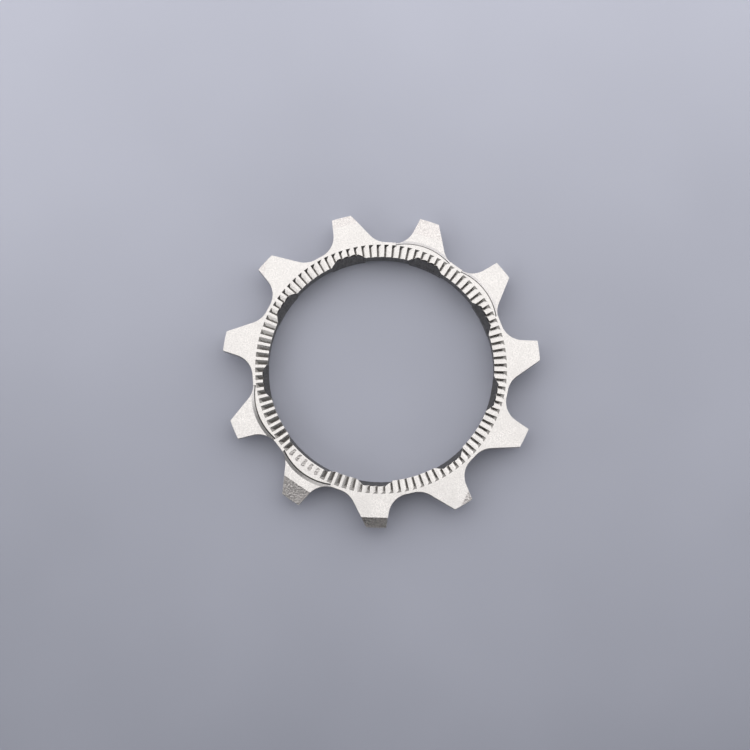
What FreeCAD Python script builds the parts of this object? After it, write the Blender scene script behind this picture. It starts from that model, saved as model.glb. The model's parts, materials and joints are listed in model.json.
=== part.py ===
import FreeCAD, Part
import math
import os

vector = FreeCAD.Vector

# Bicycle cassette cog, eleven teeth, one piece of steel.
# Millimetres. The axis is Z, the spacer face lies on z = 0 and the serrated face looks up.

# Chain
tooth_count = 11
chain_pitch = 12.7
roller_diameter = 7.75

# Thicknesses
plate_thickness = 1.6
spacer_height = 2.1

# Tooth outline
tip_rise = 0.57
tip_width = 2.87
tip_lead = 1.77
steep_seat_radius = 3.25
sloped_seat_radius = 3.33
root_flat = 0.95
tooth_phase = 4.64

# Ring
rim_width = 2.22
spacer_inset = 0.45
spacer_edge = 0.25
corner_fillet = 0.3

# Splined bore
spline_count = 9
spline_phase = 106.7
wide_spline = 6
notch_depth = 0.78
notch_foot = 2.95
notch_mouth = 4.75
tab_slope_height = 2.0
wide_notch_depth = 0.48
wide_notch_extra = 2.5
wide_slope_height = 2.2
groove_depth = 0.9
groove_height = 1.1
tab_width = 5.0
tab_lead_in = 0.35

# Lock serrations on the face
serration_count = 100
serration_depth = 0.34
serration_margin = 0.38
serration_run_out = 0.55
serration_crest = 0.44
serration_wall = 0.1
serration_phase = 56.0
pocket_depth = 0.12
pocket_lean = 9.0
pocket_rim = 0.22
pocket_inner_width = 0.36
pocket_outer_width = 0.56

# Shift shaping on single teeth
lowered_teeth = (2, 1, 7, 6)
step_height = 0.6
step_edge_height = 0.28
step_edge_run = 0.17
step_run = 0.6
step_crown = 0.27
step_end = -0.29
step_span = 12.5
step_overrun = 0.6
tip_bevel_teeth = (8, 3)
tip_bevel_length = 1.42
tip_bevel_drop = 0.33
wide_bevel_teeth = (7, 2)
wide_bevel_length = 2.41
wide_bevel_drop = 0.45
corner_bevel_teeth = (9, 4)
corner_bevel_across = 1.95
corner_bevel_down = 1.2
corner_bevel_drop = 0.15

# Derived sizes
tooth_angle = 360.0 / tooth_count
pitch_radius = chain_pitch / (2.0 * math.sin(math.pi / tooth_count))
root_radius = pitch_radius - roller_diameter / 2.0
tip_radius = pitch_radius + tip_rise
face_z = spacer_height + plate_thickness
land_radius = root_radius - rim_width
groove_radius = land_radius + groove_depth
spacer_radius = root_radius - spacer_inset
serration_radius = root_radius - serration_margin
serration_angle = 360.0 / serration_count
above = 1.0
axis = vector(0, 0, 1)
origin = vector(0, 0, 0)


def polar(radius, degrees, z=0.0):
    angle = math.radians(degrees)
    return vector(radius * math.cos(angle), radius * math.sin(angle), z)


def solid_from(faces_points):
    faces = []
    for points in faces_points:
        faces.append(Part.Face(Part.makePolygon(points + [points[0]])))
    return Part.Solid(Part.Shell(faces))


def turned(shape, degrees):
    shape.rotate(origin, axis, degrees)
    return shape


def cone_between(low_radius, high_radius, low_z, high_z, x=0.0):
    return Part.makeCone(low_radius, high_radius, high_z - low_z, vector(x, 0, low_z), axis)


def flank(corner_degrees, seat_degrees, seat_radius, side):
    # straight flank from the tip corner, tangent to the seat arc that ends on the root circle
    corner = polar(tip_radius, corner_degrees)
    centre = polar(root_radius + seat_radius, seat_degrees)
    reach = centre - corner
    bearing = math.atan2(reach.y, reach.x) + side * math.asin(seat_radius / reach.Length)
    run = math.sqrt(reach.Length ** 2 - seat_radius ** 2)
    touch = corner + vector(math.cos(bearing), math.sin(bearing), 0) * run
    foot = polar(root_radius, seat_degrees)
    middle = (touch - centre) + (foot - centre)
    middle.normalize()
    bend = centre + middle * seat_radius
    return corner, touch, bend, foot


def tooth_middle(index):
    return tooth_phase + index * tooth_angle


def tooth_outline():
    half_tip = math.degrees(tip_width / tip_radius) / 2.0
    half_flat = math.degrees(root_flat / root_radius) / 2.0
    seat_angle = tooth_angle / 2.0 - half_flat
    edges = []
    for index in range(tooth_count):
        middle = tooth_middle(index)
        tip = middle + tip_lead
        sloped = flank(tip - half_tip, middle - seat_angle, sloped_seat_radius, -1)
        steep = flank(tip + half_tip, middle + seat_angle, steep_seat_radius, 1)
        edges.append(Part.Arc(sloped[3], sloped[2], sloped[1]).toShape())
        edges.append(Part.makeLine(sloped[1], sloped[0]))
        edges.append(Part.Arc(sloped[0], polar(tip_radius, tip), steep[0]).toShape())
        edges.append(Part.makeLine(steep[0], steep[1]))
        edges.append(Part.Arc(steep[1], steep[2], steep[3]).toShape())
        gullet = middle + tooth_angle / 2.0
        next_foot = polar(root_radius, middle + tooth_angle - seat_angle)
        edges.append(Part.Arc(steep[3], polar(root_radius, gullet), next_foot).toShape())
    return Part.Face(Part.Wire(edges))


def spline_slots():
    # centre angle and extra width of every tab; one tab is wider towards its right-hand side
    slots = []
    for index in range(spline_count):
        extra = 0.0
        if index == wide_spline:
            extra = wide_notch_extra
        degrees = spline_phase - index * 360.0 / spline_count
        shift = math.degrees(extra / land_radius) / 2.0
        slots.append((degrees + shift, extra))
    return slots


def front_notch(degrees, extra):
    # sloping pocket in the serrated face, above one tab
    depth = notch_depth
    slope_height = tab_slope_height
    if extra > 0.0:
        depth = wide_notch_depth
        slope_height = wide_slope_height
    mouth = (notch_mouth + extra) / 2.0
    foot = (notch_foot + extra) / 2.0
    side_slope = (notch_mouth - notch_foot) / 2.0 / notch_depth
    inner = land_radius - 1.5
    outer = land_radius + notch_depth + 0.5
    wide = mouth + 1.5 * side_slope
    narrow = foot - 0.5 * side_slope
    points = [vector(inner, -wide, 0), vector(outer, -narrow, 0)]
    points += [vector(outer, narrow, 0), vector(inner, wide, 0), points[0]]
    prism = Part.Face(Part.makePolygon(points)).extrude(vector(0, 0, face_z + above))
    rate = depth / slope_height
    top_radius = land_radius + rate * (slope_height + above)
    cone = cone_between(land_radius, top_radius, face_z - slope_height, face_z + above)
    return turned(prism.common(cone), degrees)


def tab_block(degrees, extra):
    width = tab_width + extra
    corner = vector(land_radius - 2.0, -width / 2.0, -above)
    block = Part.makeBox(groove_radius, width, groove_height + 2.0 * above, corner)
    return turned(block, degrees)


def serration(degrees):
    # one saw-tooth valley: a steep wall at its leading end and a ramp that rises back to the face
    # wall, floor and ramp all converge on the axis; the outer end runs out to the face
    crest = math.degrees(serration_crest / serration_radius)
    wall_width = math.degrees(serration_wall / serration_radius)
    middle = degrees - (serration_angle - crest) / 2.0
    wall = math.tan(math.radians(degrees - middle))
    floor = math.tan(math.radians(degrees - wall_width - middle))
    rise = -wall
    fall = serration_depth / serration_radius
    lift = 0.3
    lead = lift / fall
    end_slope = serration_depth / serration_run_out
    outer = serration_radius * math.cos(math.radians(degrees - middle))
    floor_outer = outer / (1.0 + fall / end_slope)
    top_outer = outer + lift / end_slope
    inner = land_radius - above

    def at_floor(x):
        return vector(x, x * floor, face_z - x * fall)

    def at_wall(x):
        return vector(x, x * wall + lead * (wall - floor), face_z + lift)

    def at_rise(x):
        return vector(x, x * rise + lead * (rise - floor), face_z + lift)

    inner_end = [at_floor(inner), at_wall(inner), at_rise(inner)]
    outer_end = [at_floor(floor_outer), at_wall(top_outer), at_rise(top_outer)]
    valley = solid_from([
        inner_end,
        outer_end,
        [inner_end[0], outer_end[0], outer_end[1], inner_end[1]],
        [inner_end[0], inner_end[2], outer_end[2], outer_end[0]],
        [inner_end[1], outer_end[1], outer_end[2], inner_end[2]],
    ])
    return turned(valley, middle)


def pocket(degrees):
    # shallow closed pocket with a round outer end; its floor leans the same way as the ramps
    crest = math.degrees(serration_crest / serration_radius)
    middle = degrees - (serration_angle - crest) / 2.0
    inner = land_radius + wide_notch_depth + pocket_rim
    half_inner = pocket_inner_width / 2.0
    half_outer = pocket_outer_width / 2.0
    outer = serration_radius - half_outer
    points = [vector(outer, half_outer, 0), vector(inner, half_inner, 0)]
    points += [vector(inner, -half_inner, 0), vector(outer, -half_outer, 0)]
    edges = [Part.makeLine(points[side], points[side + 1]) for side in range(3)]
    edges.append(Part.Arc(points[3], vector(outer + half_outer, 0, 0), points[0]).toShape())
    prism = Part.Face(Part.Wire(edges)).extrude(vector(0, 0, face_z + above))
    room = Part.makeBox(serration_radius, 2.0, above, vector(above, -1.0, 0))
    room.rotate(origin, vector(1, 0, 0), -pocket_lean)
    room.translate(vector(0, 0, face_z - pocket_depth))
    return turned(prism.common(room), middle)


def serrations():
    # above the wide tab closed pockets take the place of the valleys
    wide_middle, wide_extra = spline_slots()[wide_spline]
    half_wide = math.degrees((notch_foot + wide_extra) / 2.0 / land_radius)
    valleys = []
    for index in range(serration_count):
        degrees = serration_phase + index * serration_angle
        middle = degrees - serration_angle / 2.0
        away = abs((middle - wide_middle + 180.0) % 360.0 - 180.0)
        if away < half_wide:
            valleys.append(pocket(degrees))
        else:
            valleys.append(serration(degrees))
    return valleys


def tooth_step(index):
    # everything outside a curved step goes down: a steep edge first, then a slope to the lower face
    crown = root_radius + step_crown
    end = polar(root_radius + step_end, step_span)
    sagitta = crown - end.x
    radius = (end.y ** 2 + sagitta ** 2) / (2.0 * sagitta)
    centre = crown - radius
    low = face_z - step_height
    bend = face_z - step_edge_height
    half = step_span + step_overrun
    wedge = Part.makeCylinder(tip_radius + 1.0, step_height + above, vector(0, 0, low), axis, 2.0 * half)
    wedge.rotate(origin, axis, -half)
    slope = cone_between(radius + step_run, radius + step_edge_run, low, bend, centre)
    rate = step_edge_run / step_edge_height
    edge = cone_between(radius + step_edge_run, radius - rate * above, bend, face_z + above, centre)
    return turned(wedge.cut([slope, edge]), tooth_middle(index))


def bevel(lean, start, length, drop, surface):
    # sloping cut that begins at "start" along a line leaning from the tooth's tip direction
    rate = drop / length
    far = length + 2.0
    points = [vector(start, -8, surface), vector(start + far, -8, surface - rate * far)]
    points += [vector(start + far, -8, surface + above), vector(start, -8, surface + above), points[0]]
    wedge = Part.Face(Part.makePolygon(points)).extrude(vector(0, 16, 0))
    if lean != 0.0:
        wedge.rotate(vector(tip_radius, 0, 0), axis, lean)
    return wedge


def tooth_sector(shape):
    # keeps a cut within one tooth
    sector = Part.makeCylinder(tip_radius + 4.0, 4.0 * above + face_z, origin, axis, tooth_angle)
    sector.rotate(origin, axis, -tooth_angle / 2.0)
    return shape.common(sector)


def tip_bevel(index, length, drop, surface):
    wedge = bevel(0.0, tip_radius - length, length, drop, surface)
    return turned(tooth_sector(wedge), tooth_middle(index) + tip_lead)


def corner_bevel(index):
    lean = math.degrees(math.atan2(corner_bevel_down, corner_bevel_across))
    length = 1.0 / math.hypot(1.0 / corner_bevel_across, 1.0 / corner_bevel_down)
    wedge = bevel(lean, tip_radius - length, length, corner_bevel_drop, face_z)
    wedge.translate(vector(0, tip_width / 2.0, 0))
    return turned(tooth_sector(wedge), tooth_middle(index) + tip_lead)


# Tooth plate on its spacer ring
plate = tooth_outline().extrude(vector(0, 0, plate_thickness))
plate.translate(vector(0, 0, spacer_height))
ring = Part.makeCylinder(spacer_radius, spacer_height + plate_thickness / 2.0)
body = plate.fuse(ring)

# Rounded root where the spacer meets the plate
root_edges = []
for edge in body.Edges:
    if not isinstance(edge.Curve, Part.Circle):
        continue
    if abs(edge.Curve.Radius - spacer_radius) > 0.001:
        continue
    if abs(edge.Vertexes[0].Z - spacer_height) < 0.001:
        root_edges.append(edge)
body = body.makeFillet(corner_fillet, root_edges)

# Splined bore: plain towards the serrated face, grooves between tabs at the spacer face
slots = spline_slots()
bore = Part.makeCylinder(land_radius, face_z + 2.0 * above, vector(0, 0, -above))
grooves = Part.makeCylinder(groove_radius, groove_height + above, vector(0, 0, -above))
tabs = [tab_block(degrees, extra) for degrees, extra in slots]
grooves = grooves.cut(tabs)
lead_in = cone_between(land_radius + tab_lead_in + above, land_radius - above, -above, tab_lead_in + above)
notches = [front_notch(degrees, extra) for degrees, extra in slots]

# Broken outer edge of the spacer face
edge_break = Part.makeCylinder(spacer_radius + above, spacer_edge + above, vector(0, 0, -above))
edge_cone = cone_between(spacer_radius - spacer_edge - above, spacer_radius, -above, spacer_edge)
edge_break = edge_break.cut(edge_cone)
body = body.cut([bore, grooves, lead_in, edge_break])
body = body.cut(notches)

# Shift shaping on the teeth
shaping = [tooth_step(index) for index in lowered_teeth]
shaping += [tip_bevel(index, tip_bevel_length, tip_bevel_drop, face_z) for index in tip_bevel_teeth]
lowered_face = face_z - step_height
shaping += [tip_bevel(index, wide_bevel_length, wide_bevel_drop, lowered_face) for index in wide_bevel_teeth]
shaping += [corner_bevel(index) for index in corner_bevel_teeth]
for cutter in shaping:
    body = body.cut(cutter)

# Lock serrations
body = body.cut(serrations())

cog = body.Solids[0]
os.makedirs("parts", exist_ok=True)
cog.exportStep("parts/cassette_cog.step")
print("valid", cog.isValid(), "solids", len(body.Solids), "volume", round(cog.Volume, 2), "box", cog.BoundBox)
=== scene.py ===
import json
import math

import bpy
from mathutils import Euler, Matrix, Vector


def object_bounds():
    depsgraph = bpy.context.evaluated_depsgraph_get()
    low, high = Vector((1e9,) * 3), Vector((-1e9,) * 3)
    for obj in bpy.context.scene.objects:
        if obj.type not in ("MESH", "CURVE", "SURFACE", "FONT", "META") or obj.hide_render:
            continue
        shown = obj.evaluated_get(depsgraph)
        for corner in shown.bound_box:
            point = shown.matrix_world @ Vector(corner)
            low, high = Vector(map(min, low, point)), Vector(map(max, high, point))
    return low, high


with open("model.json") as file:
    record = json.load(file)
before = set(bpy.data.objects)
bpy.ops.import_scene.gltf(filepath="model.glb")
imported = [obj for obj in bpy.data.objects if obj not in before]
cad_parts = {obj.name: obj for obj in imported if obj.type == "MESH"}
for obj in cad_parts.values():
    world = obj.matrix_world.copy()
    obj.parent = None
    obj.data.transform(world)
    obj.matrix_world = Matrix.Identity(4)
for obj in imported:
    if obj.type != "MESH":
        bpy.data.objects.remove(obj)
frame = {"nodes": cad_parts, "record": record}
cad_low, cad_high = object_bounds()

# Lengths are in metres
MM = 0.001
ORIGIN = (0.0, 0.0, 0.0)
ACROSS_AXIS = (1.0, 1.0, 0.0)

# Sizes read from the frame
mounts = {mount["name"]: mount for mount in frame["record"]["mounts"]}
bore_radius = mounts["spline_bore"]["dims"]["r_mm"] * MM
face_height = cad_high.z

# Limits of a noise between which a finish changes
NARROW = (0.35, 0.65)
WIDE = (0.3, 0.7)

# Steel: noise scales, per metre
GRAIN_SCALE = 6000.0
SCUFF_SCALE = 4600.0
STREAK_SCALE = 4000.0
CLOUD_SCALE = 420.0
STREAK_STRETCH = (1.0, 1.0, 0.08)

# Steel: colours
FACE_DARK = (0.735, 0.705, 0.685)
FACE_LIGHT = (0.895, 0.86, 0.835)
GROUND_DARK = (0.67, 0.63, 0.615)
GROUND_LIGHT = (0.88, 0.835, 0.81)
OUTER_WALL_DARK = (0.40, 0.39, 0.37)
OUTER_WALL_LIGHT = (0.60, 0.59, 0.565)
# painted shade: the bore walls and leaning walls are darkened to stand in for the shade that falls in the
# bore
BORE_WALL_SHADE_DARK = (0.12, 0.116, 0.109)
BORE_WALL_SHADE_LIGHT = (0.23, 0.223, 0.21)
# painted shade: near black on the serration walls and on the serration ends that face the axis
SERRATION_PAINTED_SHADE = (0.07, 0.063, 0.055)
# painted shade: near black darkening in corners and creases, where little light gets in
CORNER_PAINTED_SHADE = (0.045, 0.040, 0.035)
EDGE_BRIGHT = (0.90, 0.89, 0.87)

# Steel: each pair says where a finish or a painted shade starts and where it is full.
# A slope is the upright part of a face's normal, 1 on level faces and 0 on walls.
# A turn is the dot product of that normal with another direction.
# Openness is 1 where nothing stands close to the surface.
WALL_SLOPE = (0.82, 0.5)
LEANING_WALL_SLOPE = (0.06, 0.2)
GROUND_SLOPE = (0.997, 0.993)
GROUND_SLOPE_LIMIT = (0.91, 0.95)
BORE_REACH = (bore_radius + 1.156 * MM, bore_radius + 0.556 * MM)
SERRATED_HEIGHT = (face_height - 0.42 * MM, face_height - 0.32 * MM)
CLOSED_END_TURN = (-0.3, -0.42)
EDGE_TURN = (0.99, 0.86)
CORNER_OPENNESS = (0.5, 0.2)
WORN_OPENNESS = (0.55, 0.8)

# Steel: how much of a finish or a painted shade shows where it is full
CLOSED_END_SHADE_SHARE = 0.72
CORNER_SHADE_SHARE = 0.7
WORN_SHARE = 0.5

# Steel: rounding, gloss and bump
EDGE_RADIUS = 0.045 * MM
EDGE_SAMPLES = 6
CORNER_REACH = 0.2 * MM
CORNER_SAMPLES = 8
GRAIN_ROUGHNESS = (0.33, 0.26)
CLOUD_ROUGHNESS = (-0.03, 0.03)
WALL_ROUGHNESS = 0.1
GRAIN_HEIGHT = 0.016 * MM
GRAIN_STRENGTH = 0.6
SCUFF_HEIGHT = 0.05 * MM
SCUFF_STRENGTH = 0.8

# Floor: a flat disc that curves up all round
FLOOR_RADIUS = 2.2
FLOOR_RINGS = 4
BEND_RADIUS = 0.8
BEND_RINGS = 12
FLOOR_SIDES = 96
FLOOR_GAP = 0.01 * MM

# Floor: paint, with a painted light falloff, darker at the front and paler at the back
PAINT_SHADED_FRONT = (0.30, 0.311, 0.368)
PAINT_LIT_BACK = (0.67, 0.684, 0.791)
FALLOFF_DEPTH = (-60.0 * MM, 60.0 * MM)
FALLOFF_FADE = (0.1, 0.9)
PAINT_CLOUD_SCALE = 14.0
PAINT_CLOUD = (-0.1, 0.1)
PAINT_ROUGHNESS = 0.55
PAINT_SPECULAR = 0.3

# Light from all round
WORLD_COLOUR = (0.80, 0.82, 0.86)
WORLD_STRENGTH = 0.05

# Camera: its focal length is in pixels of a picture of this width
PICTURE_PIXELS = 750.0
FOCAL_PIXELS = 1800.0
SENSOR_MM = 36.0
CAMERA_PLACE = (-0.24 * MM, -38.63 * MM, 262.05 * MM)
CAMERA_TILT_DEGREES = 8.28
CAMERA_LEAN_DEGREES = 0.14
CAMERA_NEAR = 0.01
CAMERA_FAR = 20.0


def opaque(colour):
    return (*colour, 1.0)


class Tree:
    """Short way to add nodes and wires to one shader tree."""

    def __init__(self, owner):
        owner.use_nodes = True
        self.tree = owner.node_tree
        self.tree.nodes.clear()

    def add(self, kind, settings=None, **sockets):
        node = self.tree.nodes.new(kind)
        for key, value in (settings or {}).items():
            setattr(node, key, value)
        for key, value in sockets.items():
            self.feed(node, key.replace("_", " "), value)
        return node

    def feed(self, node, name, value):
        socket = node.inputs[name]
        if isinstance(value, bpy.types.NodeSocket):
            self.tree.links.new(value, socket)
        else:
            socket.default_value = value

    def noise(self, place, scale, detail, roughness=0.5):
        return self.add("ShaderNodeTexNoise", Vector=place, Scale=scale, Detail=detail,
                        Roughness=roughness).outputs["Fac"]

    def part(self, vector, axis):
        return self.add("ShaderNodeSeparateXYZ", Vector=vector).outputs[axis]

    def math(self, operation, first, second=0.0):
        node = self.add("ShaderNodeMath", {"operation": operation})
        self.feed(node, 0, first)
        self.feed(node, 1, second)
        return node.outputs[0]

    def vector(self, operation, first, second=None):
        node = self.add("ShaderNodeVectorMath", {"operation": operation})
        self.feed(node, 0, first)
        if second is not None:
            self.feed(node, 1, second)
        return node.outputs["Value" if operation in ("LENGTH", "DOT_PRODUCT") else "Vector"]

    def blend(self, factor, first, second):
        # the colour sockets share their names with hidden ones, so they go by number
        node = self.add("ShaderNodeMix", {"data_type": "RGBA"})
        self.feed(node, 0, factor)
        self.feed(node, 6, first)
        self.feed(node, 7, second)
        return node.outputs[2]

    def remap(self, value, limits, results=(0.0, 1.0)):
        node = self.add("ShaderNodeMapRange", Value=value)
        self.feed(node, "From Min", limits[0])
        self.feed(node, "From Max", limits[1])
        self.feed(node, "To Min", results[0])
        self.feed(node, "To Max", results[1])
        return node.outputs["Result"]

    def two_tone(self, factor, limits, dark, light):
        node = self.add("ShaderNodeValToRGB", Fac=factor)
        for element, place, colour in zip(node.color_ramp.elements, limits, (dark, light)):
            element.position = place
            element.color = opaque(colour)
        return node.outputs["Color"]


def steel_masks(t, place):
    """Where each finish and each painted shade shows, worked out from the shape, and the normal with its
    edges rounded.
    """
    true_normal = t.add("ShaderNodeNewGeometry").outputs["True Normal"]
    slope = t.math("ABSOLUTE", t.part(true_normal, "Z"))
    from_axis = t.vector("MULTIPLY", place, ACROSS_AXIS)
    outward = t.vector("DOT_PRODUCT", true_normal, t.vector("NORMALIZE", from_axis))
    bore = t.remap(t.vector("LENGTH", from_axis), BORE_REACH)
    serrated = t.remap(t.part(place, "Z"), SERRATED_HEIGHT)
    # the bore walls and the leaning walls carry the painted shade of the bore
    shaded_walls = t.math("MAXIMUM", bore, t.remap(slope, LEANING_WALL_SLOPE))
    # painted shade on the serration ends that face the axis
    closed_end_shade = t.remap(outward, CLOSED_END_TURN, (0.0, CLOSED_END_SHADE_SHARE))

    # the rounded normal turns away from the face's own normal only along an edge
    rounded = t.add("ShaderNodeBevel", {"samples": EDGE_SAMPLES}, Radius=EDGE_RADIUS).outputs["Normal"]
    edge = t.remap(t.vector("DOT_PRODUCT", rounded, true_normal), EDGE_TURN)
    # openness sets the painted corner shade and keeps wear off hidden edges
    openness = t.add("ShaderNodeAmbientOcclusion", {"samples": CORNER_SAMPLES},
                     Distance=CORNER_REACH).outputs["AO"]
    worn = t.math("MULTIPLY", edge, t.remap(openness, WORN_OPENNESS))

    return {
        "rounded": rounded,
        "wall": t.remap(slope, WALL_SLOPE),
        "ground": t.math("MULTIPLY", t.remap(slope, GROUND_SLOPE), t.remap(slope, GROUND_SLOPE_LIMIT)),
        "shaded_walls": shaded_walls,
        "serration_shade": t.math("MULTIPLY", shaded_walls, serrated),
        "closed_end_shade": t.math("MULTIPLY", closed_end_shade, serrated),
        "corner": t.remap(openness, CORNER_OPENNESS, (0.0, CORNER_SHADE_SHARE)),
        "worn": t.math("MULTIPLY", worn, WORN_SHARE),
    }


def steel_colour(t, place, grain, scuffs, masks):
    """Grained faces and streaked walls, with painted shade on the bore walls, in the serrations and in the
    corners, and bright on worn edges.
    """
    along = t.add("ShaderNodeMapping", Vector=place, Scale=STREAK_STRETCH).outputs["Vector"]
    streak = t.noise(along, STREAK_SCALE, detail=2.0)
    face = t.two_tone(grain, NARROW, FACE_DARK, FACE_LIGHT)
    ground = t.two_tone(scuffs, NARROW, GROUND_DARK, GROUND_LIGHT)
    outer_wall = t.two_tone(streak, WIDE, OUTER_WALL_DARK, OUTER_WALL_LIGHT)
    # the bore wall tones hold painted shade
    shaded_bore_wall = t.two_tone(streak, WIDE, BORE_WALL_SHADE_DARK, BORE_WALL_SHADE_LIGHT)
    face = t.blend(masks["ground"], face, ground)
    wall = t.blend(masks["shaded_walls"], outer_wall, shaded_bore_wall)
    # painted shade on the serration walls
    wall = t.blend(masks["serration_shade"], wall, opaque(SERRATION_PAINTED_SHADE))
    colour = t.blend(masks["wall"], face, wall)
    # painted shade on the closed serration ends
    colour = t.blend(masks["closed_end_shade"], colour, opaque(SERRATION_PAINTED_SHADE))
    # painted shade in corners and creases
    colour = t.blend(masks["corner"], colour, opaque(CORNER_PAINTED_SHADE))
    return t.blend(masks["worn"], colour, opaque(EDGE_BRIGHT))


def steel_roughness(t, place, grain, masks):
    """Gloss that follows the grain and drifts over the faces, duller on the walls."""
    cloud = t.noise(place, CLOUD_SCALE, detail=2.0)
    rough = t.math("ADD", t.remap(grain, WIDE, GRAIN_ROUGHNESS), t.remap(cloud, WIDE, CLOUD_ROUGHNESS))
    return t.math("ADD", rough, t.math("MULTIPLY", masks["wall"], WALL_ROUGHNESS))


def steel_normal(t, grain, scuffs, masks):
    """Rounded edges with a fine grain all over and scuffs on the sloping faces."""
    grained = t.add("ShaderNodeBump", Height=grain, Strength=GRAIN_STRENGTH, Distance=GRAIN_HEIGHT,
                    Normal=masks["rounded"]).outputs["Normal"]
    scuffed = t.math("MULTIPLY", scuffs, masks["ground"])
    return t.add("ShaderNodeBump", Height=scuffed, Strength=SCUFF_STRENGTH, Distance=SCUFF_HEIGHT,
                 Normal=grained).outputs["Normal"]


def plated_steel():
    """Satin nickel on stamped steel, with painted shade in the bore, the serrations and the corners."""
    material = bpy.data.materials.new("plated_steel")
    t = Tree(material)
    place = t.add("ShaderNodeTexCoord").outputs["Object"]
    grain = t.noise(place, GRAIN_SCALE, detail=2.0, roughness=0.6)
    scuffs = t.noise(place, SCUFF_SCALE, detail=1.0)
    masks = steel_masks(t, place)
    shader = t.add("ShaderNodeBsdfPrincipled", Metallic=1.0,
                   Base_Color=steel_colour(t, place, grain, scuffs, masks),
                   Roughness=steel_roughness(t, place, grain, masks),
                   Normal=steel_normal(t, grain, scuffs, masks))
    t.add("ShaderNodeOutputMaterial", Surface=shader.outputs["BSDF"])
    return material


def floor_paint_with_falloff():
    """Blue-grey paint with a painted light falloff: darker towards the front, a little paler towards the
    back.
    """
    material = bpy.data.materials.new("floor_paint_with_falloff")
    t = Tree(material)
    place = t.add("ShaderNodeTexCoord").outputs["Object"]
    # painted light falloff: the floor gets darker towards the front
    painted_falloff = t.remap(t.part(place, "Y"), FALLOFF_DEPTH, FALLOFF_FADE)
    cloud = t.remap(t.noise(place, PAINT_CLOUD_SCALE, detail=3.0), WIDE, PAINT_CLOUD)
    colour = t.two_tone(t.math("ADD", painted_falloff, cloud), (0.0, 1.0), PAINT_SHADED_FRONT, PAINT_LIT_BACK)
    shader = t.add("ShaderNodeBsdfPrincipled", Base_Color=colour, Roughness=PAINT_ROUGHNESS,
                   Specular_IOR_Level=PAINT_SPECULAR)
    t.add("ShaderNodeOutputMaterial", Surface=shader.outputs["BSDF"])
    return material


def floor_profile():
    """Radius and height of each ring of the floor, from the middle outwards."""
    rings = [(FLOOR_RADIUS * step / FLOOR_RINGS, 0.0) for step in range(1, FLOOR_RINGS + 1)]
    for step in range(1, BEND_RINGS + 1):
        turn = step * math.pi / (2 * BEND_RINGS)
        radius = FLOOR_RADIUS + BEND_RADIUS * math.sin(turn)
        rings.append((radius, BEND_RADIUS * (1.0 - math.cos(turn))))
    return rings


def floor_mesh():
    """The profile turned about the axis, with one point in the middle."""
    rings = floor_profile()
    points = [ORIGIN]
    for radius, height in rings:
        for side in range(FLOOR_SIDES):
            turn = 2.0 * math.pi * side / FLOOR_SIDES
            points.append((radius * math.cos(turn), radius * math.sin(turn), height))
    faces = [(0, 1 + side, 1 + (side + 1) % FLOOR_SIDES) for side in range(FLOOR_SIDES)]
    for ring in range(len(rings) - 1):
        first = 1 + ring * FLOOR_SIDES
        for side in range(FLOOR_SIDES):
            inner = first + side
            inner_next = first + (side + 1) % FLOOR_SIDES
            faces.append((inner, inner + FLOOR_SIDES, inner_next + FLOOR_SIDES, inner_next))
    mesh = bpy.data.meshes.new("floor")
    mesh.from_pydata(points, [], faces)
    mesh.shade_smooth()
    return mesh


def soft_panel(name, place, target, size, radiance):
    """One rectangular lamp that faces its target, with its power in step with its area."""
    width, height = size
    lamp = bpy.data.lights.new(name, "AREA")
    lamp.shape = "RECTANGLE"
    lamp.size = width
    lamp.size_y = height
    lamp.energy = radiance * math.pi * width * height
    holder = bpy.data.objects.new(name, lamp)
    holder.location = place
    holder.rotation_euler = (Vector(target) - Vector(place)).to_track_quat("-Z", "Y").to_euler()
    bpy.context.scene.collection.objects.link(holder)


# Cog
cog = frame["nodes"]["cassette_cog"]
cog.data.materials.clear()
cog.data.materials.append(plated_steel())

# Floor
floor = bpy.data.objects.new("floor", floor_mesh())
floor.location.z = cad_low.z - FLOOR_GAP
floor.data.materials.append(floor_paint_with_falloff())
bpy.context.scene.collection.objects.link(floor)

# Light
world = bpy.data.worlds.new("studio")
bpy.context.scene.world = world
world_tree = Tree(world)
sky = world_tree.add("ShaderNodeBackground", Color=opaque(WORLD_COLOUR), Strength=WORLD_STRENGTH)
world_tree.add("ShaderNodeOutputWorld", Surface=sky.outputs["Background"])

soft_panel("top_panel", place=(0.0, 0.69, 0.8), target=(0.0, 0.69, 0.0), size=(2.8, 1.56), radiance=1.15)
soft_panel("back_panel", place=(0.0, 1.45, 0.40), target=ORIGIN, size=(2.8, 0.75), radiance=1.0)
soft_panel("right_panel", place=(1.42, 0.36, 0.40), target=(0.0, 0.2, 0.0), size=(2.2, 0.74), radiance=1.1)
soft_panel("left_panel", place=(-1.42, 0.65, 0.40), target=(0.0, 0.65, 0.0), size=(1.5, 0.75), radiance=1.0)
soft_panel("front_panel", place=(0.3, -1.5, 0.44), target=ORIGIN, size=(3.2, 0.74), radiance=0.85)
soft_panel("front_left_panel", place=(-0.735, -0.459, 0.677), target=ORIGIN, size=(0.97, 0.43), radiance=1.2)

# Camera
camera_data = bpy.data.cameras.new("camera")
camera_data.sensor_width = SENSOR_MM
camera_data.lens = SENSOR_MM * FOCAL_PIXELS / PICTURE_PIXELS
camera_data.clip_start = CAMERA_NEAR
camera_data.clip_end = CAMERA_FAR
camera = bpy.data.objects.new("camera", camera_data)
camera.location = CAMERA_PLACE
tilt = math.radians(CAMERA_TILT_DEGREES)
lean = math.radians(CAMERA_LEAN_DEGREES)
camera.rotation_euler = Euler((tilt, lean, 0.0), "XYZ")
bpy.context.scene.collection.objects.link(camera)
bpy.context.scene.camera = camera

bpy.context.scene.view_settings.view_transform = "Standard"
